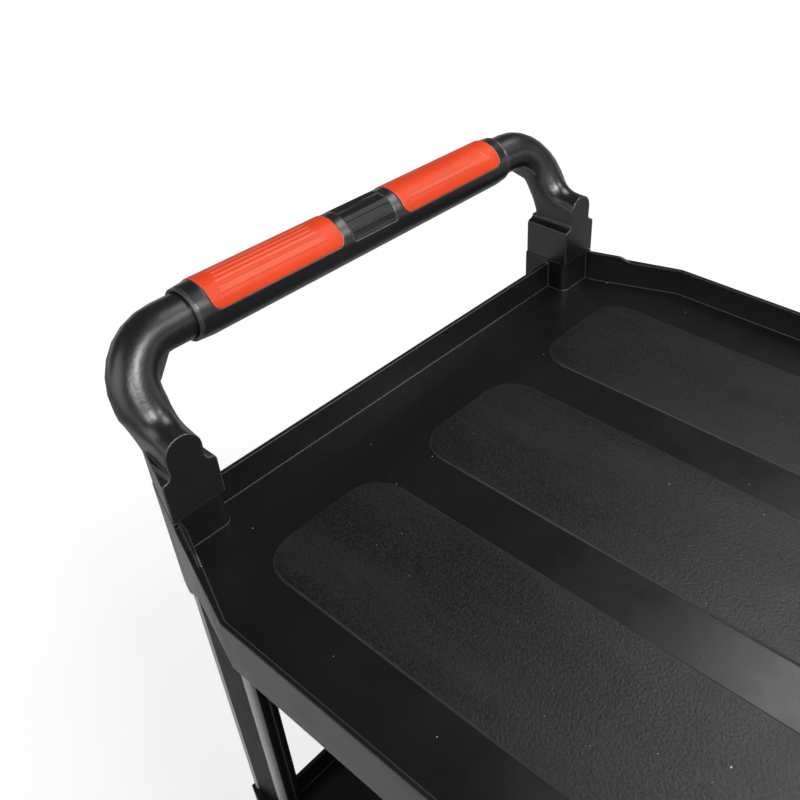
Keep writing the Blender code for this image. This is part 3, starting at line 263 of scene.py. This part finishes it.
class Shader(Nodes):
    """Helpers for building one surface material."""

    def __init__(self, name):
        self.material = bpy.data.materials.new(name)
        self.material.use_nodes = True
        super().__init__(self.material.node_tree)
        self.bsdf = self.tree.nodes["Principled BSDF"]

    def noise(self, scale, detail=4.0, rough=0.5, stretch=None, turn=0.0):
        """A noise value at a scale per metre, stretched along axes and turned if asked."""
        made = self.node("ShaderNodeTexNoise")
        made.inputs["Scale"].default_value = scale
        made.inputs["Detail"].default_value = detail
        made.inputs["Roughness"].default_value = rough
        source = self.position()
        if stretch is not None:
            mapping = self.node("ShaderNodeMapping")
            mapping.inputs["Scale"].default_value = stretch
            mapping.inputs["Rotation"].default_value = (0.0, 0.0, turn)
            self.link(source, mapping.inputs["Vector"])
            source = mapping.outputs["Vector"]
        self.link(source, made.inputs["Vector"])
        return made.outputs["Fac"]

    def cloud(self, scale, detail=5.0, high=0.68):
        """A drift between none and one, for a colour that isn't quite even."""
        return self.spread(self.noise(scale, detail, 0.6), 0.35, high, 0.0, 1.0)

    def mottle(self, scale, low, high, detail=5.0):
        """A drift between two values, for a gloss that isn't quite even."""
        return self.spread(self.noise(scale, detail, 0.6), 0.3, 0.7, low, high)

    def cells(self, scale):
        """Voronoi distance and cell colour at a scale per metre."""
        made = self.node("ShaderNodeTexVoronoi")
        made.inputs["Scale"].default_value = scale
        self.link(self.position(), made.inputs["Vector"])
        return made.outputs["Distance"], made.outputs["Color"]

    def specks(self, scale, size, share):
        """Sparse dust: round dots, with a radius in cells, in a share of the cells."""
        distance, colour = self.cells(scale)
        dots = self.spread(distance, size * 0.6, size, 1.0, 0.0)
        chosen, _, _ = self.parts_of(colour)
        return self.maths("MULTIPLY", dots, self.spread(chosen, share, share + 0.02, 1.0, 0.0))

    def dust(self, coarse, fine):
        """Dust in two sizes, each with a scale per metre, a dot's radius and a share of cells."""
        return self.maths("MAXIMUM", self.specks(*coarse), self.specks(*fine))

    def mix(self, factor, first, second):
        """Mixes two colours, made or constant, by a value."""
        made = self.node("ShaderNodeMix", data_type="RGBA")
        for socket, item in (("A", first), ("B", second)):
            self.feed(made.inputs[socket], item if not isinstance(item, tuple) else (*item, 1.0))
        self.feed(made.inputs["Factor"], factor)
        return made.outputs["Result"]

    def tint(self, colour, mask, strength, other):
        """Mixes some of another colour in where a mask is one."""
        return self.mix(self.maths("MULTIPLY", mask, strength), colour, other)

    def point(self, x, y):
        """A flat point from two values."""
        made = self.node("ShaderNodeCombineXYZ")
        self.feed(made.inputs["X"], x)
        self.feed(made.inputs["Y"], y)
        return made.outputs["Vector"]

    def segment_distance(self, point, start, end):
        """How far a flat point is from a line between two constant points."""
        run = (end[0] - start[0], end[1] - start[1], 0.0)
        square = run[0] ** 2 + run[1] ** 2
        from_start = self.vector("SUBTRACT", point, (*start, 0.0))
        share = self.spread(self.vector("DOT_PRODUCT", from_start, run), 0.0, square, 0.0, 1.0)
        to_line = self.vector("SUBTRACT", from_start, self.vector("SCALE", run, share))
        return self.vector("LENGTH", to_line)

    def bump(self, value, strength, distance, normal):
        """A bump in metres on top of a normal; returns its own normal for the next one."""
        made = self.node("ShaderNodeBump")
        made.inputs["Strength"].default_value = strength
        made.inputs["Distance"].default_value = distance
        self.link(value, made.inputs["Height"])
        self.link(normal, made.inputs["Normal"])
        self.link(made.outputs["Normal"], self.bsdf.inputs["Normal"])
        return made.outputs["Normal"]

    def soft_edges(self, radius):
        """A rounded look on sharp edges, as a moulding has."""
        made = self.node("ShaderNodeBevel", samples=8)
        made.inputs["Radius"].default_value = radius
        return made.outputs["Normal"]

    def edge_glint_mask(self, soft):
        """One on sharp edges, none on flat and round faces, from the softened normal; it places
        painted edge highlights.
        """
        own = self.node("ShaderNodeNewGeometry").outputs["Normal"]
        return self.spread(self.vector("DOT_PRODUCT", soft, own), 0.90, 0.985, 1.0, 0.0)

    def finish(self, colour, roughness, specular=None):
        """Feeds a colour, a roughness and perhaps a specular level into the surface."""
        self.feed(self.bsdf.inputs["Base Color"], colour)
        self.feed(self.bsdf.inputs["Roughness"], roughness)
        if specular is not None:
            self.feed(self.bsdf.inputs["Specular IOR Level"], specular)
        return self.material


def moulded_plastic(name, tones, rough, grain, edge, specular=0.5):
    """Injection-moulded plastic: fine grain, mottled gloss, soft edges with painted highlights on
    them, and a little dust.
    """
    made = Shader(name)
    cloud = made.cloud(9.0)
    colour = made.mix(cloud, *tones)
    dust = made.dust(coarse=(70.0, 0.022, 0.30), fine=(230.0, 0.06, 0.10))
    colour = made.tint(colour, dust, 0.35, DUST_GREY)
    normal = made.soft_edges(edge)
    # Painted highlight on the sharp edges, uneven along them
    glint = made.maths("MULTIPLY", made.edge_glint_mask(normal), made.by_mask(cloud, 0.35, 0.8))
    colour = made.mix(glint, colour, EDGE_GLINT)
    upright = made.noise(160.0, detail=3.0, rough=0.6, stretch=(1.0, 1.0, 0.25))
    scuffs = made.spread(upright, 0.62, 0.74, 0.0, 0.08)
    roughness = made.maths("ADD", made.mottle(38.0, *rough), scuffs)
    fine = made.noise(GRAIN_SCALE, detail=2.0)
    normal = made.bump(fine, strength=grain, distance=0.00010, normal=normal)
    made.bump(made.noise(60.0, detail=2.0), strength=0.06, distance=0.0006, normal=normal)
    return made.finish(colour, roughness, specular)


def panel_mask(made):
    """One on the raised floor panels, in plan, and none on the gutters between them."""
    x, y, _ = made.parts_of(made.position())
    along = made.maths("ABSOLUTE", made.maths("SUBTRACT", x, TRAY_X))
    past_end = made.maths("SUBTRACT", along, PANEL_HALF_LENGTH - PANEL_RADIUS)
    across = made.maths("ABSOLUTE", y)
    past_middle = made.maths("SUBTRACT", across, MIDDLE_PANEL_HALF - PANEL_RADIUS)
    from_side = made.maths("ABSOLUTE", made.maths("SUBTRACT", across, SIDE_PANEL_Y))
    past_side = made.maths("SUBTRACT", from_side, SIDE_PANEL_HALF - PANEL_RADIUS)
    past = made.maths("MAXIMUM", made.maths("MINIMUM", past_middle, past_side), 0.0)
    past_end = made.maths("MAXIMUM", past_end, 0.0)
    squares = made.maths("ADD", made.maths("MULTIPLY", past, past),
                         made.maths("MULTIPLY", past_end, past_end))
    return made.spread(made.maths("SQRT", squares), PANEL_RADIUS - PANEL_EDGE_INSIDE,
                       PANEL_RADIUS + PANEL_EDGE_OUTSIDE, 1.0, 0.0)


def tray_material():
    """The trays: grained floor panels, paler partly by painted sheen, smooth dark gutters and walls,
    painted edge highlights, dust and wipe marks.
    """
    made = Shader("tray_black")
    panel = panel_mask(made)
    smooth = made.mix(made.cloud(7.0), *GUTTER_BLACKS)
    sand = made.noise(GRAIN_SCALE, detail=3.0, rough=0.75)
    # The panels' grain, paler than the gutters partly as painted sheen
    sand_and_sheen = made.mix(made.spread(sand, 0.36, 0.66, 0.0, 1.0), *SAND_AND_SHEEN_BLACKS)
    wipes = made.noise(5.0, detail=5.0, rough=0.62, stretch=(1.0, 5.5, 1.0), turn=0.5)
    sand_and_sheen = made.mix(made.spread(wipes, 0.42, 0.66, 0.0, 0.5), sand_and_sheen, WIPED_BLACK)
    colour = made.mix(panel, smooth, sand_and_sheen)
    soft = made.soft_edges(0.0014)
    # Painted highlight on the trays' sharp edges
    colour = made.tint(colour, made.edge_glint_mask(soft), 0.7, TRAY_EDGE_GLINT)
    dust = made.dust(coarse=(48.0, 0.030, 0.20), fine=(150.0, 0.06, 0.05))
    colour = made.tint(colour, dust, 0.85, TRAY_DUST)
    roughness = made.mottle(30.0, made.by_mask(panel, 0.24, 0.34), made.by_mask(panel, 0.33, 0.42))
    grain = made.maths("MULTIPLY", made.noise(GRAIN_SCALE, detail=3.0, rough=0.65),
                       made.by_mask(panel, 0.07, 1.0))
    normal = made.bump(grain, strength=0.9, distance=0.00028, normal=soft)
    made.bump(made.noise(45.0, detail=2.0), strength=0.10, distance=0.0006, normal=normal)
    return made.finish(colour, roughness, specular=0.5)


def pad_lines(made, place, lines):
    """One on thin lines, given by their ends in degrees round the bar and millimetres along it."""
    nearest = None
    for line in lines:
        ends = [(math.radians(degrees) * GRIP_RADIUS, along / 1000) for degrees, along in line]
        distance = made.segment_distance(place, *ends)
        nearest = distance if nearest is None else made.maths("MINIMUM", nearest, distance)
    return made.spread(nearest, LINE_HALF_WIDTH, LINE_HALF_WIDTH * LINE_FADE, 1.0, 0.0)


def red_material():
    """The soft red pads: painted highlights on the facets, ridges and edges, painted shade in the
    grooves, fine grain and dust.
    """
    made = Shader("grip_red")
    x, y, z = made.parts_of(made.position())
    angle = made.maths("ARCTAN2", made.maths("SUBTRACT", z, BAR_Z), made.maths("SUBTRACT", x, BAR_X))
    place = made.point(made.maths("MULTIPLY", angle, GRIP_RADIUS), y)
    groove_shade, ridge_highlight = pad_lines(made, place, GROOVES), pad_lines(made, place, RIDGES)
    off = made.maths("SUBTRACT", angle, FACET_MIDDLE)
    inside = made.maths("SUBTRACT", FACET_HALF ** 2, made.maths("MULTIPLY", off, off))
    from_middle = made.maths("ABSOLUTE", y)
    on_facet = made.maths("MULTIPLY", made.spread(from_middle, *FACET_NEAR_END, 0.0, 1.0),
                          made.spread(from_middle, *FACET_FAR_END, 1.0, 0.0))
    # Painted highlight on the flat facet
    facet_highlight = made.maths("MULTIPLY", on_facet, made.spread(inside, 0.0, FACET_FADE, 0.0, 0.25))
    colour = made.mix(made.cloud(30.0, detail=4.0), *PAD_REDS)
    # Painted highlight on the ridges
    colour = made.tint(colour, ridge_highlight, 0.45, RIDGE_HIGHLIGHT_RED)
    colour = made.mix(facet_highlight, colour, FACET_HIGHLIGHT_RED)
    # Painted shade in the grooves
    colour = made.tint(colour, groove_shade, 0.5, GROOVE_SHADE_RED)
    colour = made.tint(colour, made.specks(120.0, size=0.03, share=0.25), 0.4, PAD_DUST)
    soft = made.soft_edges(0.0010)
    # Painted highlight on the pads' sharp edges
    colour = made.tint(colour, made.edge_glint_mask(soft), 0.5, PAD_EDGE_GLINT)
    fine = made.noise(1900.0, detail=2.0, rough=0.6)
    made.bump(fine, strength=0.35, distance=0.00005, normal=soft)
    return made.finish(colour, made.mottle(70.0, 0.40, 0.52, detail=4.0), specular=0.36)


def steel_material():
    """Zinc-plated steel with a faint brushed grain."""
    made = Shader("zinc")
    made.bsdf.inputs["Metallic"].default_value = 1.0
    colour = made.mix(made.cloud(55.0, high=0.70), *ZINC_GREYS)
    brushed = made.noise(900.0, detail=3.0, rough=0.6, stretch=(1.0, 0.08, 1.0))
    made.bump(brushed, strength=0.25, distance=0.00005, normal=made.soft_edges(0.0006))
    return made.finish(colour, made.mottle(120.0, 0.26, 0.42))


def tyre_material():
    """Dark grey rubber with a fine grain and a mottled gloss."""
    made = Shader("tyre_grey")
    colour = made.mix(made.cloud(45.0, high=0.70), *TYRE_GREYS)
    fine = made.noise(1100.0, detail=3.0, rough=0.6)
    made.bump(fine, strength=0.4, distance=0.00008, normal=made.soft_edges(0.0008))
    return made.finish(colour, made.mottle(80.0, 0.55, 0.72, detail=4.0))


def paint(material, *names):
    """Gives one material to the CAD nodes whose names start so."""
    for name, node in nodes.items():
        if name.startswith(names):
            node.data.materials.clear()
            node.data.materials.append(material)


def shade_rounded(piece):
    """Shades a piece's round faces smooth and its flat faces flat, and leaves its shape."""
    custom = piece.data.attributes.get("custom_normal")
    if custom is not None:
        piece.data.attributes.remove(custom)
    piece.data.shade_smooth()
    weld = piece.modifiers.new("weld", "WELD")
    weld.merge_threshold = WELD_DISTANCE
    split = piece.modifiers.new("creases", "EDGE_SPLIT")
    split.split_angle = math.radians(CREASE_ANGLE)
    split.use_edge_sharp = False
    flat = piece.modifiers.new("flat_faces", "WEIGHTED_NORMAL")
    flat.mode = "FACE_AREA"
    flat.weight = FLAT_FACE_WEIGHT


def on_pad(degrees, along, lift):
    """A point at degrees above level, millimetres along the bar and off the pads' round face."""
    turn = math.radians(degrees)
    radius = PAD_RADIUS + lift / 1000
    return BAR_X + radius * math.cos(turn), along / 1000, BAR_Z + radius * math.sin(turn)


def add_skin(made, rings):
    """Closes rings of four corners into one solid bar."""
    for first, second in zip(rings, rings[1:]):
        for i in range(4):
            j = (i + 1) % 4
            made.faces.new((first[i], first[j], second[j], second[i]))
    made.faces.new(rings[0])
    made.faces.new(rings[-1])


def add_cut(made, line, shift, depth):
    """A thin closed bar along a line on the pads, to be cut out of them."""
    per_degree = math.radians(1.0) * PAD_RADIUS * 1000
    start, end = (Vector((degrees * per_degree, along)) for degrees, along in line)
    ahead = (end - start).normalized()
    side = Vector((-ahead.y, ahead.x))
    start = start + side * shift - ahead * CUT_HALF_WIDTH
    end = end + side * shift + ahead * CUT_HALF_WIDTH
    steps = max(1, math.ceil(abs(end.x - start.x) / per_degree / CUT_STEP_DEGREES))
    rings = []
    for step in range(steps + 1):
        middle = start.lerp(end, step / steps)
        corners = [(middle + side * across, lift)
                   for across, lift in ((-CUT_HALF_WIDTH, -depth), (CUT_HALF_WIDTH, -depth),
                                        (CUT_HALF_WIDTH, CUT_ABOVE), (-CUT_HALF_WIDTH, CUT_ABOVE))]
        rings.append([made.verts.new(on_pad(flat.x / per_degree, flat.y, lift))
                      for flat, lift in corners])
    add_skin(made, rings)


def add_facet_cut(made, low, high):
    """A block over the pads' round face, whose inner side leaves a flat facet."""
    out = Vector((math.cos(FACET_MIDDLE), 0.0, math.sin(FACET_MIDDLE)))
    tangent = Vector((-math.sin(FACET_MIDDLE), 0.0, math.cos(FACET_MIDDLE)))
    bottom, top = PAD_RADIUS * math.cos(FACET_HALF), PAD_RADIUS * FACET_CUTTER_TOP
    reach = PAD_RADIUS * math.sin(FACET_HALF) * FACET_CUTTER_REACH
    rings = []
    for along in (low, high):
        centre = Vector((BAR_X, along / 1000, BAR_Z))
        rings.append([made.verts.new(centre + out * radius + tangent * across)
                      for across, radius in ((-reach, bottom), (reach, bottom),
                                             (reach, top), (-reach, top))])
    add_skin(made, rings)


def solid(made, name):
    """An object made of a bmesh, which it frees, with all faces turned outwards."""
    bmesh.ops.recalc_face_normals(made, faces=made.faces)
    mesh = bpy.data.meshes.new(name)
    made.to_mesh(mesh)
    made.free()
    obj = bpy.data.objects.new(name, mesh)
    bpy.context.scene.collection.objects.link(obj)
    return obj


def moulded_pad(node, name, material):
    """The CAD pad with its facet and its moulded lines cut in, which stands for it."""
    facets, cuts = bmesh.new(), bmesh.new()
    for low, high in FACET_SPANS:
        add_facet_cut(facets, low, high)
    for line in GROOVES:
        add_cut(cuts, line, 0.0, GROOVE_DEPTH)
    for line in RIDGES:
        add_cut(cuts, line, -RIDGE_SHIFT, RIDGE_DEPTH)
        add_cut(cuts, line, RIDGE_SHIFT, RIDGE_DEPTH)
    cutters = [solid(facets, "facet_cutter"), solid(cuts, "line_cutter")]
    whole = bmesh.new()
    whole.from_mesh(node.data)
    bmesh.ops.remove_doubles(whole, verts=whole.verts, dist=WELD_DISTANCE)
    pad = solid(whole, name)
    for cutter in cutters:
        cut = pad.modifiers.new("cut", "BOOLEAN")
        cut.operation = "DIFFERENCE"
        cut.solver = "EXACT"
        cut.use_self = True
        cut.object = cutter
    bpy.context.view_layer.update()
    evaluated = pad.evaluated_get(bpy.context.evaluated_depsgraph_get())
    shape = bpy.data.meshes.new_from_object(evaluated)
    pad.modifiers.clear()
    pad.data = shape
    for cutter in cutters:
        bpy.data.objects.remove(cutter)
    shape.materials.clear()
    shape.materials.append(material)
    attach(pad, "frame")
    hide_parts(node.name)
    return pad


def leg_bead(leg_name, end_side, low_z, high_z, material):
    """A round bead down one outer corner of a leg; end_side is -1 or 1 along the trays."""
    low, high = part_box(leg_name)
    inset = BEAD_RADIUS - BEAD_OUT
    x = high[0] - inset if end_side > 0 else low[0] + inset
    y = high[1] - inset if high[1] > 0 else low[1] + inset
    made = bmesh.new()
    bmesh.ops.create_cone(made, cap_ends=True, segments=BEAD_SIDES, radius1=BEAD_RADIUS,
                          radius2=BEAD_RADIUS, depth=high_z - low_z)
    bmesh.ops.translate(made, verts=made.verts, vec=(x, y, (low_z + high_z) / 2))
    place = leg_name.removeprefix("leg_")
    bead = solid(made, "bead_%s_%s" % ("front" if end_side > 0 else "rear", place))
    bead.data.materials.append(material)
    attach(bead, "frame")
    return bead


def add_beads(material):
    """Two beads on each leg, in the bare stretch between its trays."""
    for level, below, above in (("lower", "base_tray", "middle_tray"),
                                ("upper", "middle_tray", "top_tray")):
        bare_low, bare_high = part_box(below)[1][2] + BEAD_GAP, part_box(above)[0][2] - BEAD_GAP
        for corner in ("handle_left", "handle_right", "far_left", "far_right"):
            for end_side in (-1, 1):
                shade_rounded(leg_bead("leg_%s_%s" % (level, corner), end_side,
                                       bare_low, bare_high, material))


def add_camera():
    """The camera, at the photograph's place and angle."""
    data = bpy.data.cameras.new("camera")
    data.sensor_width = CAMERA_SENSOR
    data.lens = CAMERA_LENS
    data.shift_x = CAMERA_SHIFT
    camera = bpy.data.objects.new("camera", data)
    bpy.context.scene.collection.objects.link(camera)
    camera.location = (BOOT_FRONT_X + CAMERA_OUT, CAMERA_Y, TRAY_TOP_Z + CAMERA_UP)
    camera.rotation_euler = CAMERA_TURN
    bpy.context.scene.camera = camera


def add_floor():
    """A pale floor, seen white where the object's shadow doesn't reach."""
    bpy.ops.mesh.primitive_plane_add(size=FLOOR_SIZE, location=(0, 0, 0))
    floor = bpy.context.object
    floor.name = "floor"
    made = Shader("floor_white")
    made.bsdf.inputs["Base Color"].default_value = FLOOR_GREY
    made.bsdf.inputs["Roughness"].default_value = 0.9
    made.bsdf.inputs["Emission Color"].default_value = WHITE
    distance = made.vector("LENGTH", made.position())
    camera = made.node("ShaderNodeLightPath").outputs["Is Camera Ray"]
    near = made.by_mask(camera, MIRRORED_NEAR_LIFT, NEAR_LIFT)
    far = made.by_mask(camera, MIRRORED_FAR_LIFT, FAR_LIFT)
    lift = made.spread(distance, FLOOR_NEAR, FLOOR_FAR, near, far)
    made.link(made.maths("MULTIPLY", made.seen_rays(), lift), made.bsdf.inputs["Emission Strength"])
    floor.data.materials.append(made.material)


def add_world():
    """Studio surroundings: even light, seen white at the horizon and dark overhead in gloss."""
    world = bpy.data.worlds.new("studio")
    bpy.context.scene.world = world
    world.use_nodes = True
    made = Nodes(world.node_tree)
    made.tree.nodes.clear()
    output = made.node("ShaderNodeOutputWorld")
    background = made.node("ShaderNodeBackground")
    background.inputs["Color"].default_value = WHITE
    camera = made.node("ShaderNodeLightPath").outputs["Is Camera Ray"]
    _, _, up = made.parts_of(made.node("ShaderNodeTexCoord").outputs["Generated"])
    fall = made.spread(up, HORIZON_LOW, HORIZON_HIGH, 1.0, CEILING_SEEN)
    strength = made.node("ShaderNodeMix", data_type="FLOAT")
    strength.inputs["A"].default_value = WORLD_LIGHT
    made.link(made.maths("MAXIMUM", fall, camera), strength.inputs["B"])
    made.link(made.seen_rays(), strength.inputs["Factor"])
    made.link(strength.outputs["Result"], background.inputs["Strength"])
    made.link(background.outputs["Background"], output.inputs["Surface"])


def add_box(name, place, target, size, power):
    """A soft square area light that faces a point."""
    data = bpy.data.lights.new(name, "AREA")
    data.shape = "SQUARE"
    data.size = size
    data.spread = math.radians(BOX_SPREAD_DEGREES)
    data.energy = power
    light = bpy.data.objects.new(name, data)
    bpy.context.scene.collection.objects.link(light)
    light.location = place
    facing = Vector(target) - light.location
    light.rotation_euler = facing.to_track_quat("-Z", "Y").to_euler()


paint(tray_material(), "top_tray", "middle_tray", "base_tray")
paint(moulded_plastic("handle_black", HANDLE_BLACKS, rough=(0.28, 0.36), grain=0.9,
                      edge=0.0018, specular=0.95), "handle_elbow", "grip_shell", "post_cap")
paint(moulded_plastic("insert_black", HANDLE_BLACKS, rough=(0.40, 0.50), grain=0.9,
                      edge=0.0005, specular=0.45), "grip_insert")
paint(moulded_plastic("leg_black", LEG_BLACKS, rough=(0.42, 0.52), grain=0.4,
                      edge=0.0012, specular=0.16), "leg_")
# Painted highlight: pale grey beads stand for light on the legs' rounded corners
bead_highlight_grey = moulded_plastic("bead_highlight_grey", BEAD_HIGHLIGHT_GREYS, rough=(0.18, 0.26), grain=0.3,
                            edge=0.0004, specular=0.9)
grip_red = red_material()
paint(grip_red, "grip_pad")
paint(steel_material(), "caster_plate", "kingpin", "fork", "axle", "handle_core", "grip_screw")
paint(moulded_plastic("wheel_black", WHEEL_BLACKS, rough=(0.42, 0.52), grain=0.5,
                      edge=0.0010), "wheel_hub", "bush")
paint(tyre_material(), "tyre")

for cad_node in nodes.values():
    shade_rounded(cad_node)
for side_name in ("left", "right"):
    shade_rounded(moulded_pad(nodes["grip_pad_" + side_name], "moulded_pad_" + side_name, grip_red))
add_beads(bead_highlight_grey)

add_camera()
add_floor()
add_world()
for box_name, box_values in BOXES.items():
    add_box(box_name, *box_values)

bpy.context.scene.view_settings.view_transform = "Standard"
